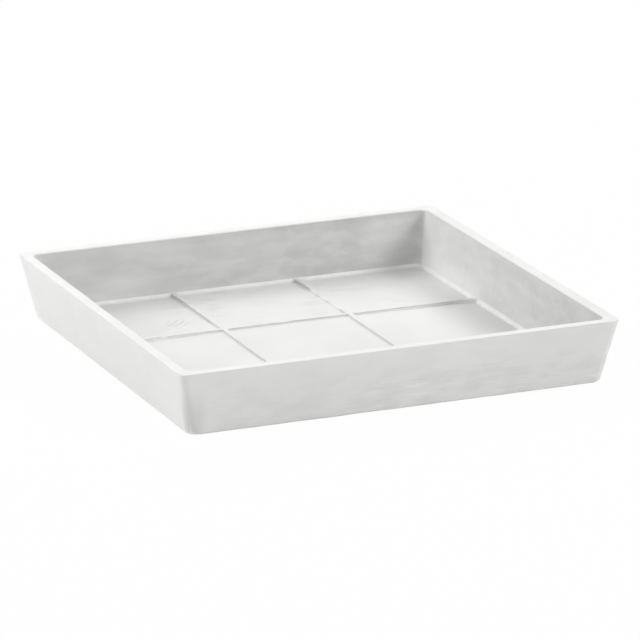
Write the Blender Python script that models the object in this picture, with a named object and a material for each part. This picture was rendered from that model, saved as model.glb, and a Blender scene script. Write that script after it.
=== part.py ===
"""Square plant saucer: one cast tray with a lattice of low ribs, standing on four glued pads.

Metres, +Z up. The origin is on the ground under the middle of the tray.
"""
import math

import bmesh
import bpy
from mathutils import Matrix, Vector

# Tray, outside
RIM_SIDE = 0.300              # across the rim, face to face
TRAY_HEIGHT = 0.0427          # from the foot of the wall to the top of the rim
WALL_LEAN = 0.00865           # how far the wall leans out between its foot and the rim
RIM_CORNER_R = 0.0040         # corner of the rim, in plan
FOOT_CORNER_R = 0.0070        # corner of the wall's foot, in plan
RIM_OUTER_ROUND = 0.0005      # edge outside the rim
FOOT_ROUND = 0.0024           # edge under the wall

# Tray, inside
RIM_WIDTH = 0.0078            # flat top of the wall
WALL_AT_FLOOR = 0.0047        # wall thickness where it meets the floor
FLOOR_THICKNESS = 0.0046      # floor beside the wall
FLOOR_CROWN = 0.0011          # rise of the floor's middle above its edges
RIM_INNER_ROUND = 0.0015      # edge inside the rim
FLOOR_FILLET = 0.0033         # between the wall and the floor
RIM_INNER_CORNER_R = 0.0045   # inner corner at the rim, in plan
FLOOR_CORNER_R = 0.0060       # inner corner at the floor, in plan

# Ribs that keep the pot out of the water
RIBS_EACH_WAY = 2
RIB_PITCH = 0.0890            # from the middle of one rib to the next
RIB_WIDTH = 0.0040            # at the floor's edge
RIB_DRAFT = 0.0003            # what each side loses from the underside of the floor to the top
RIB_RISE = 0.0012             # top of the rib above the middle of the floor
RIB_ROUND = 0.0006            # along both top edges

# Underside
BAND_WIDTH = 0.0140           # flat band that carries the walls
RECESS_DEPTH = 0.0012         # hollow inside the band
RECESS_CORNER_R = 0.0080
BOSS_WALL = 0.0030            # solid ground round each socket
SOCKET_DEPTH = 0.0010
CUT_OVERRUN = 0.0010          # how far each of these cuts starts outside the tray

# Pads
PAD_DIAMETER = 0.0250
PAD_THICKNESS = 0.0022
PAD_ROUND = 0.0006            # lower edge
PAD_EDGE_DISTANCE = 0.0110    # from the foot of the wall to the pad
PAD_SIDE_CLEARANCE = 0.0003   # round the pad in its socket
GLUE_LINE = 0.0003            # between the pad and the end of its socket

# Fineness of the curves
CORNER_STEPS = 8
EDGE_STEPS = 4
FLOOR_RINGS = 9
ROUND_STEPS = 48
SHARP_ANGLE = math.radians(32)

# Worked out from the sizes above
RIM_HALF = RIM_SIDE / 2
FOOT_HALF = RIM_HALF - WALL_LEAN
FLOOR_HALF = FOOT_HALF + WALL_LEAN * FLOOR_THICKNESS / TRAY_HEIGHT - WALL_AT_FLOOR
RIB_TOP = FLOOR_THICKNESS + FLOOR_CROWN + RIB_RISE
RIB_REACH = FLOOR_HALF + WALL_AT_FLOOR / 2
SOCKET_R = PAD_DIAMETER / 2 + PAD_SIDE_CLEARANCE
PAD_PLACE = FOOT_HALF - PAD_EDGE_DISTANCE - PAD_DIAMETER / 2
STAND_HEIGHT = PAD_THICKNESS + GLUE_LINE - SOCKET_DEPTH


def clear_scene():
    """Removes whatever the scene holds."""
    for thing in list(bpy.data.objects):
        bpy.data.objects.remove(thing, do_unlink=True)


def make_material(name, colour, roughness):
    """Returns a material with a Principled surface of one colour."""
    material = bpy.data.materials.new(name)
    material.use_nodes = True
    shader = material.node_tree.nodes["Principled BSDF"]
    shader.inputs["Base Color"].default_value = (*colour, 1.0)
    shader.inputs["Roughness"].default_value = roughness
    shader.inputs["Metallic"].default_value = 0.0
    return material


def add_object(name, mesh, parent=None):
    """Links an object with the given mesh to the scene."""
    thing = bpy.data.objects.new(name, mesh)
    thing.parent = parent
    bpy.context.collection.objects.link(thing)
    return thing


def finish_mesh(name, bm, material=None):
    """Turns a bmesh into a smooth-shaded mesh that keeps its hard edges."""
    bmesh.ops.recalc_face_normals(bm, faces=bm.faces)
    mesh = bpy.data.meshes.new(name)
    bm.to_mesh(mesh)
    bm.free()
    if material:
        mesh.materials.append(material)
    mesh.shade_smooth()
    mesh.set_sharp_from_angle(angle=SHARP_ANGLE)
    return mesh


def add_tool(name, bm, parent):
    """Adds a shape that only adds to or cuts another one, and isn't a piece itself."""
    tool = add_object(name, finish_mesh(name, bm), parent)
    tool.hide_render = True
    tool.display_type = "WIRE"
    return tool


def combine(body, tool, operation):
    """Joins a tool to a body, or cuts it out, with a Boolean modifier."""
    modifier = body.modifiers.new(tool.name, "BOOLEAN")
    modifier.operation = operation
    modifier.solver = "EXACT"
    modifier.object = tool


def round_off(before, corner, after, radius):
    """Returns the points of an arc that rounds one corner of a flat outline."""
    back = (before - corner).normalized()
    ahead = (after - corner).normalized()
    half_angle = back.angle(ahead) / 2
    centre = corner + (back + ahead).normalized() * radius / math.sin(half_angle)
    start = corner + back * radius / math.tan(half_angle) - centre
    turn = start.angle_signed(corner + ahead * radius / math.tan(half_angle) - centre)
    arc = [start.copy() for _ in range(EDGE_STEPS + 1)]
    for step, spoke in enumerate(arc):
        spoke.rotate(Matrix.Rotation(-turn * step / EDGE_STEPS, 2))
    return [centre + spoke for spoke in arc]


def rounded_square(half, corner_r, height):
    """Returns the points of a level square with round corners, counter-clockwise from above."""
    points = []
    for side_x, side_y, first_angle in ((1, 1, 0), (-1, 1, 90), (-1, -1, 180), (1, -1, 270)):
        centre = Vector((side_x, side_y, 0)) * (half - corner_r)
        for step in range(CORNER_STEPS + 1):
            angle = math.radians(first_angle + 90 * step / CORNER_STEPS)
            spoke = Vector((math.cos(angle), math.sin(angle), 0)) * corner_r
            points.append(centre + spoke + Vector((0, 0, height)))
    return points


def loft(stations):
    """Returns a closed bmesh through rounded squares, each given by half side, corner radius and height."""
    bm = bmesh.new()
    outlines = [rounded_square(*station) for station in stations]
    end = bm.faces.new([bm.verts.new(point) for point in outlines[0]])
    for outline in outlines[1:]:
        end = bmesh.ops.extrude_discrete_faces(bm, faces=[end])["faces"][0]
        for vert, point in zip(end.verts, outline):
            vert.co = point
    bmesh.ops.holes_fill(bm, edges=bm.edges)
    bmesh.ops.triangulate(bm, faces=bm.faces)
    return bm


def wall_stations():
    """Returns the wall's profile as loft stations: up its outside, over the rim, down to the floor."""
    corners = (
        (Vector((FOOT_HALF, 0)), FOOT_CORNER_R, FOOT_ROUND),
        (Vector((RIM_HALF, TRAY_HEIGHT)), RIM_CORNER_R, RIM_OUTER_ROUND),
        (Vector((RIM_HALF - RIM_WIDTH, TRAY_HEIGHT)), RIM_INNER_CORNER_R, RIM_INNER_ROUND),
        (Vector((FLOOR_HALF, FLOOR_THICKNESS)), FLOOR_CORNER_R, FLOOR_FILLET),
    )
    outline = [Vector((0, 0)), *(corner for corner, _, _ in corners), Vector((0, FLOOR_THICKNESS))]
    stations = []
    for i, (corner, corner_r, edge_round) in enumerate(corners):
        for point in round_off(outline[i], corner, outline[i + 2], edge_round):
            stations.append((point.x, corner_r, point.y))
    return stations


def floor_stations(edge_half):
    """Returns the crowned floor as loft stations that turn from a square at the edge to a circle."""
    stations = []
    for ring in range(1, FLOOR_RINGS):
        nearness = 1 - (1 - ring / FLOOR_RINGS) ** 2
        half = edge_half * (1 - ring / FLOOR_RINGS)
        corner_r = FLOOR_CORNER_R + (half - FLOOR_CORNER_R) * nearness
        stations.append((half, corner_r, FLOOR_THICKNESS + FLOOR_CROWN * nearness))
    return stations


def rib_edges(rib_width):
    """Returns where both edges of each rib that runs one way lie, between the ends of the lattice."""
    first = -RIB_PITCH * (RIBS_EACH_WAY - 1) / 2
    middles = [first + RIB_PITCH * i for i in range(RIBS_EACH_WAY)]
    edges = [middle + side * rib_width / 2 for middle in middles for side in (-1, 1)]
    return [-RIB_REACH, *edges, RIB_REACH]


def nearest(values, wanted):
    """Returns the index of the value that lies closest to the wanted one."""
    return min(range(len(values)), key=lambda i: abs(values[i] - wanted))


def add_rib_lattice(parent):
    """Adds the crossing ribs as one shape that starts inside the floor and ends inside the walls."""
    foot_edges = rib_edges(RIB_WIDTH)
    top_edges = rib_edges(RIB_WIDTH - 2 * RIB_DRAFT)
    bm = bmesh.new()
    crossings = [[bm.verts.new((x, y, FLOOR_THICKNESS / 2)) for y in foot_edges] for x in foot_edges]
    for i, (column, next_column) in enumerate(zip(crossings, crossings[1:])):
        for j in range(len(column) - 1):
            if i % 2 or j % 2:
                bm.faces.new((column[j], next_column[j], next_column[j + 1], column[j + 1]))
    bmesh.ops.delete(bm, geom=[vert for vert in bm.verts if not vert.link_faces], context="VERTS")
    raised = bmesh.ops.extrude_face_region(bm, geom=list(bm.faces))["geom"]
    for vert in (item for item in raised if isinstance(item, bmesh.types.BMVert)):
        across, along = (top_edges[nearest(foot_edges, value)] for value in vert.co.xy)
        vert.co = (across, along, RIB_TOP)
    bm.normal_update()
    tops = {item for item in raised if isinstance(item, bmesh.types.BMFace)}
    rims = [edge for edge in bm.edges if sum(face in tops for face in edge.link_faces) == 1]
    bmesh.ops.bevel(bm, geom=rims, offset=RIB_ROUND, segments=EDGE_STEPS // 2, profile=0.5, affect="EDGES")
    return add_tool("rib_lattice", bm, parent)


def add_cylinder(name, radius, low, high, parent):
    """Adds an upright cylinder between two heights."""
    bm = bmesh.new()
    placed = Matrix.Translation((0, 0, (low + high) / 2))
    bmesh.ops.create_cone(bm, cap_ends=True, segments=ROUND_STEPS, radius1=radius, radius2=radius,
                          depth=high - low, matrix=placed)
    return add_tool(name, bm, parent)


def corner_places():
    """Returns each pad's name ending with its place in plan."""
    places = {}
    for end, side_y in (("front", -1), ("rear", 1)):
        for side, side_x in (("left", -1), ("right", 1)):
            places[f"{end}_{side}"] = Vector((side_x * PAD_PLACE, side_y * PAD_PLACE, 0))
    return places


def add_recess(parent):
    """Adds the shape of the hollow under the floor, which leaves out a round boss at each pad."""
    edge = FOOT_HALF - BAND_WIDTH
    recess = add_tool("recess_cutter", loft((
        (edge + CUT_OVERRUN, RECESS_CORNER_R, -CUT_OVERRUN),
        (edge - RECESS_DEPTH, RECESS_CORNER_R, RECESS_DEPTH),
    )), parent)
    boss_r = SOCKET_R + BOSS_WALL
    for corner, place in corner_places().items():
        boss = add_cylinder(f"boss_{corner}", boss_r, -2 * CUT_OVERRUN, RECESS_DEPTH + CUT_OVERRUN, parent)
        boss.location = place
        combine(recess, boss, "DIFFERENCE")
    return recess


def add_tray(parent):
    """Adds the cast tray: a lofted shell, with its ribs joined on and its underside cut."""
    stone = make_material("cast_stone_composite", (0.80, 0.79, 0.77), 0.85)
    walls = wall_stations()
    mesh = finish_mesh("tray", loft(walls + floor_stations(walls[-1][0])), stone)
    tray = add_object("tray", mesh, parent)
    tray.location.z = STAND_HEIGHT
    combine(tray, add_rib_lattice(tray), "UNION")
    combine(tray, add_recess(tray), "DIFFERENCE")
    for corner, place in corner_places().items():
        socket = add_cylinder(f"socket_{corner}", SOCKET_R, -CUT_OVERRUN, SOCKET_DEPTH, tray)
        socket.location = place
        combine(tray, socket, "DIFFERENCE")


def add_pads(parent):
    """Adds four like pads, each turned from one profile with a rounded lower edge."""
    rubber = make_material("pad_rubber", (0.05, 0.05, 0.05), 0.6)
    radius = PAD_DIAMETER / 2
    lower_edge = round_off(Vector((0, 0)), Vector((radius, 0)), Vector((radius, PAD_THICKNESS)), PAD_ROUND)
    profile = [Vector((0, 0)), *lower_edge, Vector((radius, PAD_THICKNESS)), Vector((0, PAD_THICKNESS))]
    bm = bmesh.new()
    points = [bm.verts.new((point.x, 0, point.y)) for point in profile]
    edges = [bm.edges.new(pair) for pair in zip(points, points[1:])]
    bmesh.ops.spin(bm, geom=points + edges, axis=(0, 0, 1), cent=(0, 0, 0), steps=ROUND_STEPS,
                   angle=math.radians(360), use_merge=True)
    bmesh.ops.remove_doubles(bm, verts=bm.verts, dist=1e-6)
    mesh = finish_mesh("pad", bm, rubber)
    for corner, place in corner_places().items():
        pad = add_object(f"pad_{corner}", mesh, parent)
        pad.location = place


def main():
    """Builds the saucer."""
    clear_scene()
    saucer = add_object("saucer", None)
    add_tray(saucer)
    add_pads(saucer)


main()
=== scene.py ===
"""Square plant saucer: the cast tray and its four rubber pads, dressed and lit for the camera."""
import logging
import math
from collections.abc import Iterable, Iterator
from dataclasses import dataclass, field
from enum import Enum, IntEnum, auto

import bmesh
import bpy
from mathutils import Matrix, Quaternion, Vector, noise


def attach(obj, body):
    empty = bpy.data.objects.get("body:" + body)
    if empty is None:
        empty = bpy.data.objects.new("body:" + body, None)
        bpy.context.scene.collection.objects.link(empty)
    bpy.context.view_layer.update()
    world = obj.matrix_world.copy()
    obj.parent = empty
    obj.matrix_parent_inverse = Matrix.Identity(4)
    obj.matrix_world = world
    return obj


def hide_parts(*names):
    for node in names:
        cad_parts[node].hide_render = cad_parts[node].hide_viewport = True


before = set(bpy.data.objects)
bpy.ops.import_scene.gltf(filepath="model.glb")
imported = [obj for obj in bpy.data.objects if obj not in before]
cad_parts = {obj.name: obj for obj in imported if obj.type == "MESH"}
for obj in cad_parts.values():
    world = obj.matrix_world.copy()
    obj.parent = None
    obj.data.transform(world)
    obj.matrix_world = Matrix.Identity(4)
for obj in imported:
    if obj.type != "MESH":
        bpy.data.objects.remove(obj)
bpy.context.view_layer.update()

log = logging.getLogger("plant_saucer")

MM = 0.001
SEED_STEPS = (1.0, 1.7, 2.3)  # how far a seed of 1 moves a pattern along X, Y and Z
MERGE_DISTANCE = 1e-6  # points nearer to each other than this are one
CUT_DISTANCE = 1e-7  # points nearer to a cut than this lie on it
CUT_DIGITS = 7  # cuts nearer to each other than the last of these digits are one


# Small tools that every class below uses

def linear(hex_colour: str) -> tuple[float, float, float, float]:
    """Turn an sRGB hex colour to the linear one that a shader takes.

    Args:
        hex_colour: The colour, such as "#f0f0ee".

    Returns:
        Red, green, blue and an alpha of 1.
    """
    channels = [int(hex_colour[i:i + 2], 16) / 255 for i in (1, 3, 5)]
    red, green, blue = (c / 12.92 if c <= 0.04045 else ((c + 0.055) / 1.055) ** 2.4 for c in channels)
    return red, green, blue, 1.0


def add_node(tree: bpy.types.NodeTree, kind: str, settings: dict | None = None,
             links: dict | None = None) -> bpy.types.Node:
    """Add one node with its settings and its incoming links.

    Args:
        tree: The node tree.
        kind: The node's type, such as "ShaderNodeTexNoise".
        settings: Properties by name, and socket values by socket name or number.
        links: What feeds each input, by its name or number: an output socket, or a node for its first.

    Returns:
        The node.
    """
    node = tree.nodes.new(kind)
    for name, value in (settings or {}).items():
        if isinstance(name, str) and name in node.bl_rna.properties:
            setattr(node, name, value)
        else:
            node.inputs[name].default_value = value
    for name, source in (links or {}).items():
        feed = source.outputs[0] if isinstance(source, bpy.types.Node) else source
        tree.links.new(feed, node.inputs[name])
    return node


def smooth_step(value: float, low: float, high: float) -> float:
    """Return 0 below low, 1 above high and an S-shaped blend between them."""
    share = min(1.0, max(0.0, (value - low) / (high - low)))
    return share * share * (3 - 2 * share)


@dataclass(frozen=True)
class Waves:
    """Smooth random waves: their height, how far apart they are, and the seed that picks their pattern.

    Waves that go inwards start from their own height below the surface and never rise above it.
    """

    height: float
    spacing: float
    seed: float = 0.0
    inwards: bool = False

    def at(self, point: Vector) -> float:
        """Return how far the waves rise or sink at a point.

        Args:
            point: The place, in metres.

        Returns:
            The rise, between about minus and plus the height, or between minus twice the height and 0.
        """
        start = Vector([self.seed * step for step in SEED_STEPS])
        rise = noise.noise(point / self.spacing + start)
        return self.height * (rise - 1 if self.inwards else rise)


def shape_object(name: str, bm: bmesh.types.BMesh) -> bpy.types.Object:
    """Put a bmesh into an object of its own, for use with modifiers.

    Args:
        name: The object's name.
        bm: Its shape, which is freed.

    Returns:
        The object.
    """
    mesh = bpy.data.meshes.new(name)
    bm.to_mesh(mesh)
    bm.free()
    thing = bpy.data.objects.new(name, mesh)
    bpy.context.scene.collection.objects.link(thing)
    return thing


def add_modifier(thing: bpy.types.Object, kind: str, **settings: object) -> bpy.types.Modifier:
    """Add a modifier to an object.

    Args:
        thing: The object.
        kind: The modifier's type, such as "BEVEL".
        **settings: Its properties by name.

    Returns:
        The modifier.
    """
    modifier = thing.modifiers.new(kind.lower(), kind)
    for name, value in settings.items():
        setattr(modifier, name, value)
    return modifier


def finish_piece(name: str, bm: bmesh.types.BMesh, material: bpy.types.Material,
                 stands_for: str, sharp_angle: float) -> bpy.types.Object:
    """Turn a bmesh into a piece of the object that rides on the saucer.

    Args:
        name: The piece's name.
        bm: Its shape, which is freed.
        material: Its finish.
        stands_for: The CAD node that the piece replaces.
        sharp_angle: Faces that meet at more than this, in radians, keep a hard edge.

    Returns:
        The piece's object.
    """
    bmesh.ops.recalc_face_normals(bm, faces=bm.faces[:])
    piece = shape_object(name, bm)
    piece.data.materials.append(material)
    piece.data.shade_smooth()
    piece.data.set_sharp_from_angle(angle=sharp_angle)
    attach(piece, "root")
    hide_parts(stands_for)
    return piece


# What the wash on the tray goes by

class Measure(Enum):
    """What is measured at each spot of the tray. Lengths are in metres."""

    ACROSS = auto()  # from the middle to the right
    ALONG = auto()  # from the middle to the rear
    HEIGHT = auto()  # above the ground
    REACH = auto()  # how far out, the same all along a square round the middle
    BEYOND = auto()  # how far outside the middle of the wall's thickness
    LEVELNESS = auto()  # 1 where the surface lies level, 0 where it stands upright
    FACING_UP = auto()  # 1 where it faces up, -1 where it faces down
    FACING_FRONT = auto()  # 1 where it faces the front or the rear, 0 where it faces a side
    FROM_CORNER = auto()  # from the foot's near left corner, seen from above
    FROM_SWIRL = auto()  # from the middle of the brush's swirl
    SWIRL_WAVE = auto()  # 1 along the swirl's strokes, -1 halfway between them
    FROM_PINHOLE = auto()  # from the nearest pinhole, as a share of their spacing


@dataclass(frozen=True)
class Bumps:
    """Noise at its real size: the lengths of its bumps along X, Y and Z, and what is finer in it."""

    size: tuple[float, float, float]
    detail: float
    roughness: float = 0.5
    distortion: float = 0.0


class Pattern(Enum):
    """The patterns that the casting, the wash and the brush left."""

    CLOUDS = Bumps((32 * MM,) * 3, detail=4.0, distortion=0.4)
    THICKNESS = Bumps((19.2 * MM,) * 3, detail=3.0)
    SMEARS = Bumps((38 * MM, 38 * MM, 11 * MM), detail=4.0)
    PATCHES = Bumps((38 * MM,) * 3, detail=1.0)
    BLOTCHES = Bumps((20 * MM, 20 * MM, 9 * MM), detail=2.0)
    RUNS = Bumps((36 * MM, 3.0 * MM, 36 * MM), detail=2.0)
    BITS = Bumps((4 * MM,) * 3, detail=4.0, roughness=0.6)
    RIPPLES = Bumps((20 * MM, 7.5 * MM, 7.5 * MM), detail=2.0, distortion=0.3)
    RAISED_RIPPLES = Bumps((20 * MM, 7.5 * MM, 7.5 * MM), detail=2.0, distortion=0.8)
    RIPPLED_PATCHES = Bumps((32 * MM,) * 3, detail=1.0)
    # A bristle draws lines of about 0.3 mm, too fine to show here
    STROKES = Bumps((24 * MM, 24 * MM, 1.0 * MM), detail=3.0, roughness=0.6)
    # The stone powder is about 0.2 mm, too fine to show here
    SAND = Bumps((0.8 * MM,) * 3, detail=3.0, roughness=0.6)


@dataclass(frozen=True)
class Ramp:
    """An amount that goes from low, where its source is at start, to high, where it is at end.

    It stays level beyond both. A smooth ramp eases in and out.
    """

    source: "Measure | Pattern | Zone"
    start: float
    end: float
    low: float = 0.0
    high: float = 1.0
    smooth: bool = True


@dataclass(frozen=True)
class Sided:
    """One amount on surfaces that face left or right, and another on those that face front or rear."""

    sideways: Ramp
    frontal: Ramp


class Zone(Enum):
    """The zones of the tray. A spot belongs to a zone by the product of the zone's ramps."""

    LEVEL = (Ramp(Measure.LEVELNESS, 0.8, 0.95),)
    WALLS = (Ramp(Measure.LEVELNESS, 0.8, 0.3),)
    INSIDE = (Ramp(Measure.BEYOND, 1 * MM, -1 * MM),)
    OUTSIDE = (Ramp(Measure.BEYOND, -1 * MM, 1 * MM),)
    FRONTAL = (Ramp(Measure.FACING_FRONT, 0.4, 0.8),)
    REAR = (Ramp(Measure.ALONG, 42 * MM, 60 * MM),)
    UNDER = (Ramp(Measure.FACING_UP, -0.6, -0.95),)
    FLOOR = (*LEVEL, Ramp(Measure.HEIGHT, 12 * MM, 9 * MM))
    INNER_WALLS = (*WALLS, *INSIDE, Ramp(Measure.HEIGHT, 7.2 * MM, 8.2 * MM))
    OUTER_WALLS = (*WALLS, *OUTSIDE)
    RIB_SIDES = (*WALLS, Ramp(Measure.REACH, 136 * MM, 135 * MM))
    FILLET = (*INSIDE, Ramp(Measure.HEIGHT, 8.2 * MM, 7.2 * MM),
              Ramp(Measure.REACH, 133.8 * MM, 134.8 * MM))
    RIM = (*LEVEL, Ramp(Measure.HEIGHT, 40 * MM, 42 * MM),
           Ramp(Measure.ACROSS, 136 * MM, 144 * MM, low=0.95, high=0.3, smooth=False))
    RIM_INNER_EDGE = (Ramp(Measure.HEIGHT, 43.2 * MM, 43.9 * MM),
                      Ramp(Measure.REACH, 144.4 * MM, 143.2 * MM))
    REAR_OF_SIDES = (Ramp(Measure.HEIGHT, 24 * MM, 9 * MM, high=0.5), Ramp(Measure.FACING_FRONT, 0.5, 0.2),
                     Ramp(Measure.ALONG, 20 * MM, 60 * MM))
    # Painted shade: a band up the foot's near left corner, strongest low down
    NEAR_CORNER_SHADE = (Ramp(Measure.FROM_CORNER, 11 * MM, 4 * MM), Ramp(Measure.HEIGHT, 40 * MM, 6 * MM))
    LOW_OUTSIDE = (*OUTER_WALLS, Ramp(Measure.HEIGHT, 32 * MM, 20 * MM),
                   Ramp(Measure.FACING_FRONT, 0.4, 0.8, low=0.3),
                   Ramp(Measure.ACROSS, -130 * MM, 110 * MM, low=0.45, high=1.5, smooth=False))
    STROKED = (Ramp(Pattern.PATCHES, 0.4, 0.55), *LOW_OUTSIDE)
    SWIRL = (Ramp(Measure.SWIRL_WAVE, 0.0, 1.0), Ramp(Measure.FROM_SWIRL, 9.5 * MM, 4.75 * MM))


Share = Measure | Pattern | Zone | Ramp | Sided


class Tint(Enum):
    """The shades of the wash and of what lies over or under it, several of them also painted light or
    shade.
    """

    EVEN = "#f3f3f2"
    # Soaked wash, also painted shade on the outer front and back and painted light in the far right corner
    # inside
    SOAKED_AND_SHADE = "#e9e9e8"
    # Thin wash in runs and smears, also painted shade inside the walls
    THIN_AND_SHADE = "#c4c4c3"
    # Dull wash in ripples, blotches and strokes, also painted shade on the floor and up the foot's near
    # left corner
    DULLED_AND_SHADE = "#dededd"
    # Painted shade on the ribs' sides
    RIB_SIDE_SHADE = "#b4b4b1"
    # Pale wash in bits, blotches and strokes, also painted light on the rim, the outer sides and the floor,
    # and a painted highlight in the fillets
    PALE_AND_PAINTED_LIGHT = "#fafaf9"
    BARE = "#d3d3cf"


@dataclass(frozen=True)
class Coat:
    """A coat of one tint, laid on as strongly as the product of its shares."""

    tint: Tint
    shares: tuple[Share, ...]


@dataclass(frozen=True)
class Relief:
    """Fine relief that follows the product of its shares: its depth, and how strongly it shows."""

    shares: tuple[Share, ...]
    depth: float
    strength: float


@dataclass
class Spots:
    """The tray's measures, patterns and zones as nodes of one material, each made at its first use."""

    tree: bpy.types.NodeTree
    wall_middle: float = 139 * MM  # where the middle of the wall's thickness would meet the ground
    wall_lean: float = 0.16
    # The foot's near left corner, where a band of painted shade runs up the outside
    near_left_corner: tuple[float, float, float] = (-140 * MM, -144 * MM, 0)
    swirl_centre: tuple[float, float, float] = (-66.4 * MM, 72.8 * MM, 7 * MM)
    swirl_pivot: tuple[float, float, float] = (-82.5 * MM, 91 * MM, 7 * MM)
    swirl_pitch: float = 4.4 * MM
    pinhole_spacing: float = 9 * MM
    place: bpy.types.NodeSocket = field(init=False)
    made: dict[Share, bpy.types.NodeSocket] = field(init=False)

    def __post_init__(self) -> None:
        """Read each spot's place and work out what is measured there."""
        coordinates = add_node(self.tree, "ShaderNodeTexCoord")
        self.place = coordinates.outputs["Object"]
        self.made = self._by_place() | self._by_direction(coordinates.outputs["Normal"]) | self._by_marks()

    def _by_place(self) -> dict[Share, bpy.types.NodeSocket]:
        """Return the measures that go by a spot's place.

        Returns:
            A socket for each measure.
        """
        spot = add_node(self.tree, "ShaderNodeSeparateXYZ", {}, {"Vector": self.place})
        across, along = (add_node(self.tree, "ShaderNodeMath", {"operation": "ABSOLUTE"},
                                  {0: spot.outputs[axis]}) for axis in "XY")
        reach = add_node(self.tree, "ShaderNodeMath", {"operation": "MAXIMUM"}, {0: across, 1: along})
        middle = add_node(self.tree, "ShaderNodeMath", {"operation": "MULTIPLY_ADD", 1: self.wall_lean,
                          2: self.wall_middle}, {0: spot.outputs["Z"]})
        beyond = add_node(self.tree, "ShaderNodeMath", {"operation": "SUBTRACT"}, {0: reach, 1: middle})
        return {Measure.ACROSS: spot.outputs["X"], Measure.ALONG: spot.outputs["Y"],
                Measure.HEIGHT: spot.outputs["Z"], Measure.REACH: reach.outputs[0],
                Measure.BEYOND: beyond.outputs[0]}

    def _by_direction(self, normal: bpy.types.NodeSocket) -> dict[Share, bpy.types.NodeSocket]:
        """Return the measures that go by how the surface lies.

        Args:
            normal: The surface's direction at each spot.

        Returns:
            A socket for each measure.
        """
        facing = add_node(self.tree, "ShaderNodeSeparateXYZ", {}, {"Vector": normal})
        level, frontal = (add_node(self.tree, "ShaderNodeMath", {"operation": "ABSOLUTE"},
                                   {0: facing.outputs[axis]}) for axis in "ZY")
        return {Measure.LEVELNESS: level.outputs[0], Measure.FACING_FRONT: frontal.outputs[0],
                Measure.FACING_UP: facing.outputs["Z"]}

    def _by_marks(self) -> dict[Share, bpy.types.NodeSocket]:
        """Return the measures that go by the foot's near left corner, the swirl and the pinholes.

        Returns:
            A socket for each measure.
        """
        from_above = add_node(self.tree, "ShaderNodeVectorMath", {"operation": "MULTIPLY", 1: (1, 1, 0)},
                              {0: self.place})
        from_corner, from_swirl, from_pivot = (
            add_node(self.tree, "ShaderNodeVectorMath", {"operation": "DISTANCE", 1: mark}, {0: spot})
            for spot, mark in ((from_above, self.near_left_corner), (self.place, self.swirl_centre),
                               (self.place, self.swirl_pivot)))
        turns = add_node(self.tree, "ShaderNodeMath",
                         {"operation": "MULTIPLY", 1: math.tau / self.swirl_pitch},
                         {0: from_pivot.outputs["Value"]})
        wave = add_node(self.tree, "ShaderNodeMath", {"operation": "COSINE"}, {0: turns})
        cells = add_node(self.tree, "ShaderNodeMapping", {"Scale": (1 / self.pinhole_spacing,) * 3},
                         {"Vector": self.place})
        pinholes = add_node(self.tree, "ShaderNodeTexVoronoi", {"Scale": 1.0}, {"Vector": cells})
        return {Measure.FROM_CORNER: from_corner.outputs["Value"],
                Measure.FROM_SWIRL: from_swirl.outputs["Value"], Measure.SWIRL_WAVE: wave.outputs[0],
                Measure.FROM_PINHOLE: pinholes.outputs["Distance"]}

    def amount(self, share: Share) -> bpy.types.NodeSocket:
        """Return a share's amount at each spot.

        Args:
            share: What is asked for.

        Returns:
            The socket that holds it, made now if no share before it was the same.
        """
        if share not in self.made:
            makers = {Pattern: self._pattern, Zone: self._zone, Ramp: self._ramp, Sided: self._sided}
            self.made[share] = makers[type(share)](share)
        return self.made[share]

    def product(self, shares: Iterable[Share]) -> bpy.types.NodeSocket:
        """Return the product of some shares' amounts.

        Args:
            shares: The shares, at least one.

        Returns:
            The socket that holds it.
        """
        product, *others = (self.amount(share) for share in shares)
        for other in others:
            product = add_node(self.tree, "ShaderNodeMath", {"operation": "MULTIPLY"},
                               {0: product, 1: other}).outputs[0]
        return product

    def _pattern(self, pattern: Pattern) -> bpy.types.NodeSocket:
        """Lay a pattern over the tray at its real size.

        Args:
            pattern: The pattern.

        Returns:
            The socket that holds it, from 0 to 1 and mostly near a half.
        """
        bumps = pattern.value
        scale = tuple(1 / length for length in bumps.size)
        spread = add_node(self.tree, "ShaderNodeMapping", {"Scale": scale}, {"Vector": self.place})
        settings = {"Scale": 1.0, "Detail": bumps.detail, "Roughness": bumps.roughness,
                    "Distortion": bumps.distortion}
        return add_node(self.tree, "ShaderNodeTexNoise", settings, {"Vector": spread}).outputs[0]

    def _zone(self, zone: Zone) -> bpy.types.NodeSocket:
        """Return how much each spot belongs to a zone."""
        return self.product(zone.value)

    def _ramp(self, ramp: Ramp) -> bpy.types.NodeSocket:
        """Return a ramp's amount at each spot.

        Args:
            ramp: The ramp.

        Returns:
            The socket that holds it.
        """
        settings = {"interpolation_type": "SMOOTHSTEP" if ramp.smooth else "LINEAR", "From Min": ramp.start,
                    "From Max": ramp.end, "To Min": ramp.low, "To Max": ramp.high}
        return add_node(self.tree, "ShaderNodeMapRange", settings,
                        {"Value": self.amount(ramp.source)}).outputs[0]

    def _sided(self, sided: Sided) -> bpy.types.NodeSocket:
        """Blend a pair of amounts by which way the surface faces.

        Args:
            sided: The pair.

        Returns:
            The socket that holds the blend.
        """
        links = {"Value": self.amount(Zone.FRONTAL), "To Min": self.amount(sided.sideways),
                 "To Max": self.amount(sided.frontal)}
        return add_node(self.tree, "ShaderNodeMapRange", {}, links).outputs[0]


# Finishes

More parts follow.
